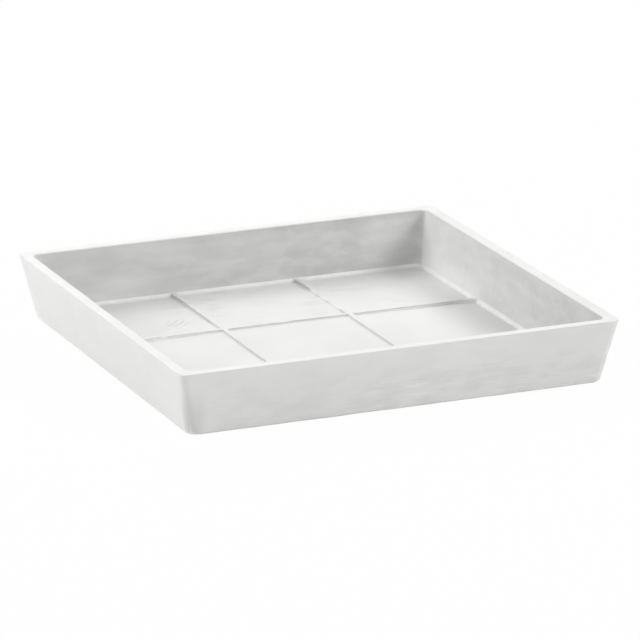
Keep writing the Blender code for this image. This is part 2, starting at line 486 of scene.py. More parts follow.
@dataclass(frozen=True)
class WashedCastStone:
    """Stone powder and resin, cast in a mould and brushed by hand with a thin white wash.

    The casting is dead matt, so nothing mirrors in it and its light stays soft. The wash lies even and
    pale on the floor, the rim and the outside, where the brush left strokes low on the front and the back.
    Painted shade greys the outer front and back, and painted light whitens the outer sides, the rim and
    its inner edge. On the floor, shade is painted along the right wall and in the rear left, and light in
    the rear middle. Inside, the walls are cloudy and blotched, and painted shade greys them, most of all
    towards the far right corner, where a paler stretch of painted light lifts it. Wash set in pale bits in
    the fillets, which also carry a painted highlight. Painted shade darkens the sides of the ribs, most of
    all where a rib that runs fore and aft meets a wall, and a band up the foot's near left corner. The
    underside shows the bare casting.
    """

    ior: float = 1.48
    roughness: Ramp = Ramp(Pattern.THICKNESS, 0.35, 0.7, low=0.66, high=0.82, smooth=False)
    ground: Tint = Tint.EVEN
    clouds: Coat = Coat(Tint.SOAKED_AND_SHADE, (Ramp(Pattern.CLOUDS, 0.38, 0.66),
                                      Ramp(Measure.LEVELNESS, 0.8, 0.95, low=0.3, high=0.12)))
    floor_coats: tuple[Coat, ...] = (
        Coat(Tint.SOAKED_AND_SHADE, (Ramp(Zone.FLOOR, 0.0, 1.0, high=0.25),)),
        # Painted shade along the right wall, where its shadow falls, and in the rear left; painted light in
        # the rear middle, where it lifts the back wall's shade; paler in the front left
        Coat(Tint.DULLED_AND_SHADE, (Zone.FLOOR, Ramp(Measure.ACROSS, 85 * MM, 130 * MM, high=0.8),
                           Ramp(Measure.ALONG, 100 * MM, 40 * MM))),
        Coat(Tint.DULLED_AND_SHADE, (Zone.FLOOR, Ramp(Measure.ACROSS, -45 * MM, -100 * MM, high=0.3),
                           Ramp(Measure.ALONG, 10 * MM, 60 * MM))),
        Coat(Tint.PALE_AND_PAINTED_LIGHT, (Zone.FLOOR, Ramp(Measure.ALONG, 50 * MM, 100 * MM, high=0.5),
                           Ramp(Measure.ACROSS, -70 * MM, -20 * MM),
                           Ramp(Measure.ACROSS, 70 * MM, 35 * MM))),
        Coat(Tint.PALE_AND_PAINTED_LIGHT, (Zone.FLOOR, Ramp(Measure.ACROSS, -35 * MM, -60 * MM, high=0.5),
                           Ramp(Measure.ALONG, -20 * MM, -60 * MM))),
        # Patches of brushed ripples in the rear row of cells, and the swirl
        Coat(Tint.DULLED_AND_SHADE, (Ramp(Pattern.RIPPLES, 0.46, 0.7, high=0.4), Ramp(Pattern.PATCHES, 0.42, 0.58),
                           Zone.REAR, Zone.FLOOR)),
        Coat(Tint.DULLED_AND_SHADE, (Zone.SWIRL, Zone.FLOOR)),
    )
    outer_coats: tuple[Coat, ...] = (
        # Painted shade on the front and the back and painted light on the sides, for how the lamps fall on
        # them; the front and the back are also greyer towards the right
        Coat(Tint.SOAKED_AND_SHADE, (Zone.OUTER_WALLS, Ramp(Zone.FRONTAL, 0.0, 1.0, high=0.42))),
        Coat(Tint.PALE_AND_PAINTED_LIGHT, (Zone.OUTER_WALLS, Ramp(Zone.FRONTAL, 1.0, 0.0, high=0.5))),
        Coat(Tint.DULLED_AND_SHADE, (Zone.OUTER_WALLS, Zone.FRONTAL,
                           Ramp(Measure.ACROSS, 20 * MM, 110 * MM, high=0.25))),
        # Blotches, and low down more blotches with dull and pale brush strokes
        Coat(Tint.DULLED_AND_SHADE, (Ramp(Pattern.BLOTCHES, 0.45, 0.58, high=0.13), Zone.OUTER_WALLS, Zone.FRONTAL)),
        Coat(Tint.DULLED_AND_SHADE, (Ramp(Pattern.BLOTCHES, 0.42, 0.7, high=0.28), Zone.LOW_OUTSIDE)),
        Coat(Tint.DULLED_AND_SHADE, (Ramp(Pattern.STROKES, 0.5, 0.7, high=0.6), Zone.STROKED)),
        Coat(Tint.PALE_AND_PAINTED_LIGHT, (Ramp(Pattern.STROKES, 0.42, 0.28), Zone.STROKED)),
        # Painted shade up the foot's near left corner
        Coat(Tint.DULLED_AND_SHADE, (Zone.NEAR_CORNER_SHADE, Zone.OUTER_WALLS)),
    )
    inner_coats: tuple[Coat, ...] = (
        # Uneven smears, and painted shade that greys the inside of the walls: on the side walls most in
        # front, on the front and back walls most on the right
        Coat(Tint.THIN_AND_SHADE, (Ramp(Pattern.SMEARS, 0.3, 0.7, low=0.6, smooth=False), Zone.INNER_WALLS,
                         Sided(sideways=Ramp(Measure.ALONG, -80 * MM, 100 * MM, low=0.74, high=0.36,
                                             smooth=False),
                               frontal=Ramp(Measure.ACROSS, -120 * MM, 60 * MM, low=0.72, high=1.06,
                                            smooth=False)))),
        # Painted light: a paler stretch near the right end of the front and the back wall, which lifts the
        # shade that the right wall casts there
        Coat(Tint.SOAKED_AND_SHADE, (Zone.INNER_WALLS, Zone.FRONTAL,
                           Ramp(Measure.ACROSS, 84 * MM, 106 * MM, high=0.38),
                           Ramp(Measure.ACROSS, 142 * MM, 114 * MM))),
        # Upright runs on the side walls, and pale blotches that grow stronger to the right
        Coat(Tint.THIN_AND_SHADE, (Ramp(Pattern.RUNS, 0.5, 0.75, high=0.15), Zone.INNER_WALLS)),
        Coat(Tint.PALE_AND_PAINTED_LIGHT, (Ramp(Pattern.BLOTCHES, 0.48, 0.6), Zone.INNER_WALLS,
                           Ramp(Measure.ACROSS, -130 * MM, 60 * MM, low=0.05, high=0.13, smooth=False))),
        # Paler low on the rear of the side walls
        Coat(Tint.PALE_AND_PAINTED_LIGHT, (Zone.INNER_WALLS, Zone.REAR_OF_SIDES)),
    )
    edge_coats: tuple[Coat, ...] = (
        # Pale bits in the fillets: wash that set there, and a painted highlight along the fillets' bright
        # line
        Coat(Tint.PALE_AND_PAINTED_LIGHT, (Ramp(Pattern.BITS, 0.34, 0.5, low=0.45, smooth=False), Zone.FILLET)),
        # Painted shade on the ribs' sides: the ones that run fore and aft have more near the walls, the
        # others less
        Coat(Tint.RIB_SIDE_SHADE, (Zone.RIB_SIDES,
                          Sided(sideways=Ramp(Measure.REACH, 50 * MM, 125 * MM, low=0.38, high=0.88,
                                              smooth=False),
                                frontal=Ramp(Measure.REACH, 25 * MM, 75 * MM, low=0.36, high=0.06,
                                             smooth=False)))),
        # Painted light on the rim and its inner edge, and the bare casting underneath
        Coat(Tint.PALE_AND_PAINTED_LIGHT, (Zone.RIM,)),
        Coat(Tint.PALE_AND_PAINTED_LIGHT, (Zone.RIM_INNER_EDGE,)),
        Coat(Tint.BARE, (Zone.UNDER,)),
    )
    reliefs: tuple[Relief, ...] = (
        Relief((Pattern.SAND,), depth=0.05 * MM, strength=0.4),
        Relief((Pattern.STROKES, Zone.OUTER_WALLS), depth=0.04 * MM, strength=0.6),
        Relief((Pattern.RAISED_RIPPLES, Ramp(Pattern.RIPPLED_PATCHES, 0.48, 0.6), Zone.FLOOR, Zone.REAR),
               depth=0.15 * MM, strength=0.8),
        Relief((Zone.SWIRL,), depth=0.08 * MM, strength=0.6),
        Relief((Ramp(Measure.FROM_PINHOLE, 0.03, 0.06),), depth=0.15 * MM, strength=0.6),
    )

    def make(self) -> bpy.types.Material:
        """Make the material.

        Returns:
            The material.
        """
        material = bpy.data.materials.new("washed_cast_stone")
        material.use_nodes = True
        tree = material.node_tree
        shader = tree.nodes["Principled BSDF"]
        shader.inputs["IOR"].default_value = self.ior
        spots = Spots(tree)
        tree.links.new(self._colour(spots), shader.inputs["Base Color"])
        tree.links.new(spots.amount(self.roughness), shader.inputs["Roughness"])
        tree.links.new(self._normal(spots), shader.inputs["Normal"])
        return material

    def _colour(self, spots: Spots) -> bpy.types.NodeSocket:
        """Lay one coat after another over the even wash.

        Args:
            spots: What is known of each spot.

        Returns:
            The colour.
        """
        coats = (self.clouds, *self.floor_coats, *self.outer_coats, *self.inner_coats, *self.edge_coats)
        colour: bpy.types.NodeSocket | None = None
        for coat in coats:
            below, above = linear(self.ground.value), linear(coat.tint.value)
            links = {0: spots.product(coat.shares)} | ({6: colour} if colour else {})
            mixed = add_node(spots.tree, "ShaderNodeMix", {"data_type": "RGBA", 6: below, 7: above}, links)
            colour = mixed.outputs[2]
        return colour

    def _normal(self, spots: Spots) -> bpy.types.NodeSocket:
        """Press one relief after another into the surface.

        Args:
            spots: What is known of each spot.

        Returns:
            The surface's normal.
        """
        normal: bpy.types.NodeSocket | None = None
        for relief in self.reliefs:
            links = {"Height": spots.product(relief.shares)} | ({"Normal": normal} if normal else {})
            bump = add_node(spots.tree, "ShaderNodeBump", {"Distance": relief.depth,
                            "Strength": relief.strength}, links)
            normal = bump.outputs["Normal"]
        return normal


@dataclass(frozen=True)
class PadRubber:
    """Synthetic rubber pressed in a blasted mould, which leaves it matt, near black and grey with dust."""

    body: str = "#2b2b2b"
    bloom: str = "#4a4a48"
    ior: float = 1.52
    roughness: float = 0.62
    bloom_size: float = 3 * MM
    bloom_detail: float = 5.0
    bloom_from: float = 0.45
    bloom_full: float = 0.8
    grain_size: float = 0.35 * MM  # the mould's blasted texture is about 0.1 mm, too fine to show here
    grain_detail: float = 2.0
    grain_depth: float = 0.04 * MM
    grain_strength: float = 0.4

    def make(self) -> bpy.types.Material:
        """Make the material.

        Returns:
            The material.
        """
        material = bpy.data.materials.new("pad_rubber_moulded")
        material.use_nodes = True
        tree = material.node_tree
        shader = tree.nodes["Principled BSDF"]
        shader.inputs["IOR"].default_value = self.ior
        shader.inputs["Roughness"].default_value = self.roughness
        place = add_node(tree, "ShaderNodeTexCoord").outputs["Object"]
        dust, grain = (add_node(tree, "ShaderNodeTexNoise", {"Scale": 1 / size, "Detail": detail},
                                {"Vector": place})
                       for size, detail in ((self.bloom_size, self.bloom_detail),
                                            (self.grain_size, self.grain_detail)))
        amount = add_node(tree, "ShaderNodeMapRange", {"From Min": self.bloom_from,
                          "From Max": self.bloom_full}, {"Value": dust})
        colour = add_node(tree, "ShaderNodeMix", {"data_type": "RGBA", 6: linear(self.body),
                          7: linear(self.bloom)}, {0: amount})
        bump = add_node(tree, "ShaderNodeBump", {"Strength": self.grain_strength,
                        "Distance": self.grain_depth}, {"Height": grain})
        tree.links.new(colour.outputs[2], shader.inputs["Base Color"])
        tree.links.new(bump.outputs["Normal"], shader.inputs["Normal"])
        return material


@dataclass(frozen=True)
class StudioPaper:
    """The white sweep under the saucer: dead matt paper that keeps a soft trace of the shadow."""

    paper: str = "#f4f4f4"
    white_share: float = 0.975

    def make(self) -> bpy.types.Material:
        """Make the material, mostly plain white where the camera or a reflection sees it.

        Returns:
            The material.
        """
        material = bpy.data.materials.new("studio_paper")
        material.use_nodes = True
        tree = material.node_tree
        tree.nodes.remove(tree.nodes["Principled BSDF"])
        matt = add_node(tree, "ShaderNodeBsdfDiffuse", {"Color": linear(self.paper)})
        white = add_node(tree, "ShaderNodeEmission", {"Strength": 1.0})
        share = add_node(tree, "ShaderNodeMath", {"operation": "MULTIPLY", 1: self.white_share},
                         {0: seen_by_eye(tree)})
        mixed = add_node(tree, "ShaderNodeMixShader", {}, {0: share, 1: matt, 2: white})
        tree.links.new(mixed.outputs["Shader"], tree.nodes["Material Output"].inputs["Surface"])
        return material


def seen_by_eye(tree: bpy.types.NodeTree) -> bpy.types.NodeSocket:
    """Tell the rays that the eye follows from those that light things.

    Args:
        tree: The node tree of a material or a world.

    Returns:
        1 for camera, mirror and see-through rays, 0 for the others.
    """
    path = add_node(tree, "ShaderNodeLightPath")
    mirror = add_node(tree, "ShaderNodeMath", {"operation": "MAXIMUM"},
                      {0: path.outputs["Is Camera Ray"], 1: path.outputs["Is Glossy Ray"]})
    either = add_node(tree, "ShaderNodeMath", {"operation": "MAXIMUM"},
                      {0: mirror, 1: path.outputs["Is Transmission Ray"]})
    return either.outputs["Value"]


# The tray

class Stretch(IntEnum):
    """The stretches of the tray's skin, from the floor over the rim to the foot."""

    FLOOR = 0
    FILLET = 1
    INNER_WALL = 2
    RIM_INNER_EDGE = 3
    RIM_TOP = 4
    RIM_OUTER_EDGE = 5
    OUTER_WALL = 6
    FOOT = 7


@dataclass(frozen=True)
class Bend:
    """One rounded corner of the wall's profile, and the straight run that leads up to it.

    The tray's corners, seen from above, have the radius corner_r there. The profile's own rounding is
    round_r.
    """

    half: float
    height: float
    corner_r: float
    round_r: float
    steps: int
    stretch: Stretch
    run: Stretch | None = None
    run_steps: int = 0


@dataclass(frozen=True)
class Ring:
    """One turn round the tray: a level square with round corners."""

    stretch: Stretch
    half: float
    height: float
    corner_r: float


@dataclass
class Tray:
    """The cast tray: crowned floor with a lattice of low ribs, leaning walls and a flat rim."""

    node: str = "tray"
    stand_height: float = 1.5 * MM
    rim_half: float = 150 * MM
    height: float = 42.7 * MM
    lean: float = 8.65 * MM
    rim_width: float = 7.8 * MM
    wall_at_floor: float = 5.6 * MM
    floor_thickness: float = 4.15 * MM
    crown: float = 1.1 * MM
    edge_drop: float = 0.45 * MM
    edge_drop_width: float = 16 * MM
    rib_dip: float = 0.7 * MM
    rim_corner_r: float = 5.5 * MM
    foot_corner_r: float = 7.0 * MM
    rim_inner_corner_r: float = 5.5 * MM
    floor_corner_r: float = 6.0 * MM
    rim_outer_round: float = 0.5 * MM
    foot_round: float = 2.4 * MM
    rim_inner_round: float = 1.5 * MM
    fillet_round: float = 2.6 * MM
    rib_middles: tuple[float, ...] = (-44.5 * MM, 44.5 * MM)
    rib_width: float = 4.0 * MM
    rib_rise: float = 1.2 * MM
    rib_profile: tuple[tuple[float, float], ...] = (  # shares of half the rib's width and of its height
        (1.3, 0.0), (1.12, 0.04), (1.02, 0.25), (0.95, 0.72), (0.86, 0.94), (0.7, 1.0), (0.0, 1.0),
    )
    mesh_step: float = 1.6 * MM
    corner_steps: int = 10
    sharp_angle: float = math.radians(38)
    worn_middle: tuple[float, float] = (44.5 * MM, 82 * MM)
    worn_half: float = 30 * MM
    worn_evenly: float = 0.7  # the share of that stretch between its two ends
    worn_depth: float = 0.5
    worn_waves: Waves = Waves(0.35, 5 * MM, 14.0)
    nibble_depth: float = 0.16
    nibbles: Waves = Waves(1.0, 6 * MM, 11.0)
    nibble_range: tuple[float, float] = (0.1, 0.6)  # the waves' rise where a nibble starts and is deepest
    nick_place: tuple[float, float] = (-87 * MM, 42.6 * MM)
    nick_r: float = 2.2 * MM
    floor_waves: tuple[Waves, ...] = (Waves(0.10 * MM, 32 * MM), Waves(0.05 * MM, 9 * MM, 3.0))
    fillet_waves: tuple[Waves, ...] = (Waves(0.16 * MM, 8 * MM, 5.0),)
    wall_waves: tuple[Waves, ...] = (Waves(0.14 * MM, 32 * MM, inwards=True),
                                     Waves(0.04 * MM, 11 * MM, 7.0, inwards=True))
    rim_waves: tuple[Waves, ...] = (Waves(0.04 * MM, 10 * MM, 9.0, inwards=True),
                                    Waves(0.04 * MM, 32 * MM, inwards=True))
    foot_waves: tuple[Waves, ...] = (Waves(0.16 * MM, 14 * MM, 8.0, inwards=True),)
    smear_thickness: float = 0.32 * MM
    smear_full: float = 1.2 * MM  # above the floor's edge: up to here the wash set thick
    smear_end: float = 4.5 * MM  # and above this not at all
    smear_bits: Waves = Waves(1.0, 4.2 * MM, 6.0)
    smear_range: tuple[float, float] = (0.1, 0.5)  # the waves' rise where a bit starts and is thickest
    smear_crumbs: Waves = Waves(0.4, 2.6 * MM, 12.0)
    band_width: float = 14.0 * MM
    recess_depth: float = 1.2 * MM
    recess_corner_r: float = 8.0 * MM
    recess_round: float = 0.5 * MM
    recess_round_steps: int = 2
    recess_edge_angle: float = math.radians(25)
    boss_r: float = 15.8 * MM
    socket_r: float = 12.8 * MM
    socket_depth: float = 1.0 * MM
    socket_chamfer: float = 0.35 * MM
    socket_steps: int = 96
    overcut: float = 1.0 * MM  # how far a cutter reaches past what it cuts
    rings: list[Ring] = field(default_factory=list)

    @property
    def foot_half(self) -> float:
        """Half the side of the foot."""
        return self.rim_half - self.lean

    @property
    def floor_half(self) -> float:
        """Half the side of the floor, before its fillet."""
        return self.foot_half + self.lean * self.floor_thickness / self.height - self.wall_at_floor

    @property
    def rib_top(self) -> float:
        """Height of the ribs' tops above the foot."""
        return self.floor_thickness + self.edge_drop + self.crown + self.rib_rise

    def build(self, material: bpy.types.Material, pad_places: Iterable[Vector]) -> bpy.types.Object:
        """Build the tray.

        Args:
            material: Its finish.
            pad_places: Where the pads sit under it.

        Returns:
            The tray's object.
        """
        self.rings = self._rings()
        bm = self._floor_sheet()
        self._raise_skin(bm)
        self._shape_floor(bm)
        self._weather(bm)
        bmesh.ops.translate(bm, verts=bm.verts[:], vec=(0, 0, self.stand_height))
        bm = self._cut_underside(bm, pad_places)
        return finish_piece("saucer_tray", bm, material, self.node, self.sharp_angle)

    def _corner_arc(self, before: Vector, corner: Vector, after: Vector, radius: float,
                    steps: int) -> list[Vector]:
        """Round one corner of the wall's profile.

        Args:
            before: The profile's corner before this one.
            corner: The sharp corner.
            after: The corner after it.
            radius: The rounding.
            steps: How many straight steps it has.

        Returns:
            The points of the arc.
        """
        back = (before - corner).normalized()
        ahead = (after - corner).normalized()
        half_angle = back.angle(ahead) / 2
        centre = corner + (back + ahead).normalized() * radius / math.sin(half_angle)
        start = corner + back * radius / math.tan(half_angle) - centre
        turn = start.angle_signed(corner + ahead * radius / math.tan(half_angle) - centre)
        return [centre + Matrix.Rotation(-turn * i / steps, 2) @ start for i in range(steps + 1)]

    def _bends(self) -> tuple[Bend, ...]:
        """List the corners of the wall's profile, from the floor's edge over the rim to the foot.

        Returns:
            The bends in that order.
        """
        return (
            Bend(half=self.floor_half, height=self.floor_thickness, corner_r=self.floor_corner_r,
                 round_r=self.fillet_round, steps=8, stretch=Stretch.FILLET),
            Bend(half=self.rim_half - self.rim_width, height=self.height, corner_r=self.rim_inner_corner_r,
                 round_r=self.rim_inner_round, steps=8, stretch=Stretch.RIM_INNER_EDGE,
                 run=Stretch.INNER_WALL, run_steps=9),
            Bend(half=self.rim_half, height=self.height, corner_r=self.rim_corner_r,
                 round_r=self.rim_outer_round, steps=5, stretch=Stretch.RIM_OUTER_EDGE,
                 run=Stretch.RIM_TOP, run_steps=3),
            Bend(half=self.foot_half, height=0.0, corner_r=self.foot_corner_r, round_r=self.foot_round,
                 steps=7, stretch=Stretch.FOOT, run=Stretch.OUTER_WALL, run_steps=10),
        )

    def _rings(self) -> list[Ring]:
        """Work out the turns round the tray, from the floor's edge over the rim to under the foot.

        Returns:
            The rings in that order.
        """
        bends = self._bends()
        outline = [Vector((0, self.floor_thickness)), *(Vector((bend.half, bend.height)) for bend in bends),
                   Vector((0, 0))]
        rings: list[Ring] = []
        for i, bend in enumerate(bends):
            arc = self._corner_arc(*outline[i:i + 3], bend.round_r, bend.steps)
            if bend.run is not None:
                last = rings[-1]
                for step in range(1, bend.run_steps):
                    share = step / bend.run_steps
                    point = Vector((last.half, last.height)).lerp(arc[0], share)
                    rings.append(Ring(bend.run, point.x, point.y,
                                      last.corner_r + (bend.corner_r - last.corner_r) * share))
            rings.extend(Ring(bend.stretch, point.x, point.y, bend.corner_r) for point in arc)
        return rings

    def _cut_places(self, reach: float) -> list[float]:
        """Work out where the floor is cut in strips: closely at each rib, evenly elsewhere.

        Args:
            reach: How far from the middle the last cuts are.

        Returns:
            The places of the cuts, in order.
        """
        close = [middle + side * share * self.rib_width / 2 for middle in self.rib_middles
                 for share, _ in self.rib_profile for side in (-1, 1)]
        edge = max(share for share, _ in self.rib_profile) * self.rib_width / 2
        count = round(2 * reach / self.mesh_step)
        even = [-reach + 2 * reach * i / count for i in range(count + 1)]
        clear = [place for place in even
                 if all(abs(place - middle) > edge + self.mesh_step / 2 for middle in self.rib_middles)]
        return sorted({round(place, CUT_DIGITS) for place in close + clear})

    def _floor_sheet(self) -> bmesh.types.BMesh:
        """Make the floor as one flat sheet with round corners, cut into small cells.

        Returns:
            The sheet.
        """
        bm = bmesh.new()
        edge = self.rings[0]
        bmesh.ops.create_grid(bm, x_segments=1, y_segments=1, size=edge.half)
        bmesh.ops.bevel(bm, geom=bm.verts[:], offset=edge.corner_r, segments=self.corner_steps, profile=0.5,
                        affect="VERTICES", material=-1)
        for axis in (Vector((1, 0, 0)), Vector((0, 1, 0))):
            for place in self._cut_places(edge.half - edge.corner_r):
                bmesh.ops.bisect_plane(bm, geom=bm.verts[:] + bm.edges[:] + bm.faces[:],
                                       dist=CUT_DISTANCE, plane_co=axis * place, plane_no=axis)
        return bm

    def _raise_skin(self, bm: bmesh.types.BMesh) -> None:
        """Extrude the sheet's edge ring by ring into fillet, walls, rim and foot, and close the bottom.

        Args:
            bm: The floor's sheet, which becomes the whole skin.
        """
        core_layer = bm.verts.layers.float_vector.new("core")
        spoke_layer = bm.verts.layers.float_vector.new("spoke")
        stretch_layer = bm.verts.layers.int.new("stretch")
        edge = self.rings[0]
        straight = edge.half - edge.corner_r
        ring = [e for e in bm.edges if e.is_boundary]
        for vert in {v for e in ring for v in e.verts}:
            core = Vector(max(-straight, min(straight, value)) for value in vert.co.xy).to_3d()
            vert[core_layer] = core
            vert[spoke_layer] = (vert.co - core).normalized()
        for station in self.rings[1:]:
            made = bmesh.ops.extrude_edge_only(bm, edges=ring)["geom"]
            ring = [item for item in made if isinstance(item, bmesh.types.BMEdge) and item.is_boundary]
            reach = station.half - station.corner_r
            for vert in (item for item in made if isinstance(item, bmesh.types.BMVert)):
                core = Vector(self._along(value, straight, reach) for value in vert[core_layer].xy).to_3d()
                vert.co = core + vert[spoke_layer] * station.corner_r
                vert.co.z = station.height
                vert[stretch_layer] = station.stretch.value
        bmesh.ops.contextual_create(bm, geom=ring)

    def _along(self, value: float, straight: float, reach: float) -> float:
        """Move a place along a side from one ring to another: kept near the ribs, stretched beyond them.

        Args:
            value: The place on the floor's edge, from the side's middle.
            straight: Half the straight part of the floor's edge.
            reach: Half the straight part of the other ring.

        Returns:
            The place on the other ring.
        """
        kept = max(self.rib_middles) + 2 * self.rib_width
        if abs(value) <= kept:
            return value
        return math.copysign(kept + (abs(value) - kept) * (reach - kept) / (straight - kept), value)

    def _rib_share(self, offset: float) -> float:
        """Work out how far up the rib's profile a point is.

        Args:
            offset: The point's distance from the rib's middle line.

        Returns:
            0 on the floor to 1 on the rib's top.
        """
        scaled = abs(offset) / (self.rib_width / 2)
        for (outer, low), (inner, high) in zip(self.rib_profile, self.rib_profile[1:]):
            if scaled >= inner:
                return high + (low - high) * min(1.0, (scaled - inner) / (outer - inner))
        return 1.0

    def _shape_floor(self, bm: bmesh.types.BMesh) -> None:
        """Lift the floor to its crown and raise the ribs out of it, into the fillets.

        Args:
            bm: The skin.
        """
        stretch_layer = bm.verts.layers.int["stretch"]
        half = self.rings[0].half
        for vert in bm.verts:
            stretch = vert[stretch_layer]
            if stretch > Stretch.FILLET:
                continue
            x, y = vert.co.xy
            if stretch == Stretch.FLOOR:
                across, along = (1 - min(1.0, abs(value) / half) ** 2 for value in (x, y))
                vert.co.z = self.floor_thickness + self.crown * across * along
                vert.co.z += self.edge_drop * self._clear_of_walls(x, y)
            share = max(self._rib_share(value - middle) for value in (x, y) for middle in self.rib_middles)
            share *= self._rib_left(vert.co)
            top = self.rib_top - self.rib_dip * (1 - self._clear_of_walls(x, y))
            vert.co.z = max(vert.co.z, vert.co.z + (top - vert.co.z) * share)

    def _clear_of_walls(self, x: float, y: float) -> float:
        """Return 0 where the floor meets a wall and 1 where it is clear of its dip along the walls."""
        return smooth_step(self.rings[0].half - max(abs(x), abs(y)), 0.0, self.edge_drop_width)

    def _rib_left(self, place: Vector) -> float:
        """Work out how much of a rib is left: one stretch is worn low, and it is nibbled and nicked.

        Args:
            place: A point of the floor.

        Returns:
            0 where nothing is left to 1 where the rib is whole.
        """
        flat = place.xy.to_3d()
        middle_x, middle_y = self.worn_middle
        left = 1.0
        if abs(place.x - middle_x) < self.rib_width:
            worn = 1 - smooth_step(abs(place.y - middle_y), self.worn_half * self.worn_evenly,
                                   self.worn_half)
            left -= worn * (self.worn_depth + self.worn_waves.at(flat))
        left -= self.nibble_depth * smooth_step(self.nibbles.at(flat), *self.nibble_range)
        nick = (place.xy - Vector(self.nick_place)).length
        return left * smooth_step(nick, 0.0, self.nick_r)

    def _weather(self, bm: bmesh.types.BMesh) -> None:
        """Give the skin the slight unevenness of a hand-finished casting, always inwards outside.

        Args:
            bm: The skin.
        """
        waves = {Stretch.FLOOR: self.floor_waves, Stretch.FILLET: self.fillet_waves,
                 Stretch.INNER_WALL: self.wall_waves, Stretch.OUTER_WALL: self.wall_waves,
                 Stretch.FOOT: self.foot_waves}
        stretch_layer = bm.verts.layers.int["stretch"]
        moves: list[tuple[bmesh.types.BMVert, Vector]] = []
        bmesh.ops.recalc_face_normals(bm, faces=bm.faces[:])
        bm.normal_update()
        for vert in bm.verts:
            stretch = vert[stretch_layer]
            push = sum(wave.at(vert.co) for wave in waves.get(stretch, self.rim_waves))
            if stretch in (Stretch.FILLET, Stretch.INNER_WALL):
                push += self._smear(vert.co)
            moves.append((vert, vert.normal * push))
        for vert, move in moves:
            vert.co += move

    def _smear(self, place: Vector) -> float:
        """Work out how thick the wash set in and just above the fillet, in small bits.

        Args:
            place: A point of the fillet or the wall.

        Returns:
            The wash's thickness, 0 where a rib runs in.
        """
        low = 1 - smooth_step(place.z, self.floor_thickness + self.smear_full,
                              self.floor_thickness + self.smear_end)
        if any(abs(value - middle) < self.rib_width for value in place.xy for middle in self.rib_middles):
            return 0.0
        bits = smooth_step(self.smear_bits.at(place), *self.smear_range) + self.smear_crumbs.at(place)
        return self.smear_thickness * bits * low

    def _cut_underside(self, bm: bmesh.types.BMesh, pad_places: Iterable[Vector]) -> bmesh.types.BMesh:
        """Cut the shallow hollow and the pads' sockets into the foot, and leave a boss round each socket.

        Args:
            bm: The closed skin, which is freed.
            pad_places: Where the pads sit.

        Returns:
            The tray with its underside.
        """
        body = shape_object("tray_body", bm)
        hollow = shape_object("hollow", self._hollow())
        bosses: list[bpy.types.Object] = []
        sockets: list[bpy.types.Object] = []
        for place in pad_places:
            boss = self._disc(place, self.boss_r, self.recess_depth + self.overcut, 0.0)
            socket = self._disc(place, self.socket_r, self.socket_depth, self.socket_chamfer)
            bosses.append(shape_object("boss", boss))
            sockets.append(shape_object("socket", socket))
        for boss in bosses:
            add_modifier(hollow, "BOOLEAN", operation="DIFFERENCE", solver="EXACT", object=boss)
        add_modifier(hollow, "BEVEL", limit_method="ANGLE", angle_limit=self.recess_edge_angle,
                     width=self.recess_round, segments=self.recess_round_steps)
        for cutter in (hollow, *sockets):
            add_modifier(body, "BOOLEAN", operation="DIFFERENCE", solver="EXACT", object=cutter)
        cut = bmesh.new()
        cut.from_object(body, bpy.context.evaluated_depsgraph_get())
        for thing in (body, hollow, *bosses, *sockets):
            bpy.data.objects.remove(thing, do_unlink=True)
        return cut

    def _hollow(self) -> bmesh.types.BMesh:
        """Make the shape of the hollow: a shallow block with round corners that narrows upwards.

        Returns:
            The block, which reaches below the foot by the overcut.
        """
        bm = bmesh.new()
        mouth = self.foot_half - self.band_width
        bmesh.ops.create_grid(bm, x_segments=1, y_segments=1, size=mouth + self.overcut)
        bmesh.ops.bevel(bm, geom=bm.verts[:], offset=self.recess_corner_r, segments=self.corner_steps,
                        profile=0.5, affect="VERTICES", material=-1)
        bmesh.ops.translate(bm, verts=bm.verts[:], vec=(0, 0, self.stand_height - self.overcut))
        roof = bmesh.ops.extrude_face_region(bm, geom=bm.faces[:])["geom"]
        raised = [item for item in roof if isinstance(item, bmesh.types.BMVert)]
        narrow = (mouth - self.recess_depth) / (mouth + self.overcut)
        bmesh.ops.scale(bm, verts=raised, vec=(narrow, narrow, 1))
        bmesh.ops.translate(bm, verts=raised, vec=(0, 0, self.recess_depth + self.overcut))
        bmesh.ops.recalc_face_normals(bm, faces=bm.faces[:])
        return bm

    def _disc(self, place: Vector, radius: float, depth: float, chamfer: float) -> bmesh.types.BMesh:
        """Make a disc that reaches from below the foot to a depth in it, wider at its mouth.

        Args:
            place: Its middle.
            radius: Its radius inside the foot.
            depth: How deep it goes.
            chamfer: How much wider it is at the mouth, and how far up that goes.

        Returns:
            The disc.
        """
        bm = bmesh.new()
        mouth = self.stand_height
        below = mouth - self.overcut
        outline = [Vector((0, 0, below)), Vector((radius + chamfer, 0, below)),
                   Vector((radius + chamfer, 0, mouth)), Vector((radius, 0, mouth + chamfer)),
                   Vector((radius, 0, mouth + depth)), Vector((0, 0, mouth + depth))]
        points = [bm.verts.new(point) for point in outline]
        edges = [bm.edges.new(pair) for pair in zip(points, points[1:])]
        bmesh.ops.spin(bm, geom=points + edges, axis=(0, 0, 1), cent=(0, 0, 0), steps=self.socket_steps,
                       angle=math.tau, use_merge=True)
        bmesh.ops.remove_doubles(bm, verts=bm.verts[:], dist=MERGE_DISTANCE)
        bmesh.ops.translate(bm, verts=bm.verts[:], vec=place)
        bmesh.ops.recalc_face_normals(bm, faces=bm.faces[:])
        return bm


# The pads

class Corner(Enum):
    """The pads' corners: the CAD node's name, and the side of the middle in X and Y."""

    FRONT_LEFT = ("pad_front_left", -1, -1)
    FRONT_RIGHT = ("pad_front_right", 1, -1)
    REAR_LEFT = ("pad_rear_left", -1, 1)
    REAR_RIGHT = ("pad_rear_right", 1, 1)

    @property
    def node(self) -> str:
        """The CAD node's name."""
        return self.value[0]

    def place(self, distance: float) -> Vector:
        """Return the pad's middle, the given distance from both of the tray's middle lines."""
        return Vector((self.value[1] * distance, self.value[2] * distance, 0))


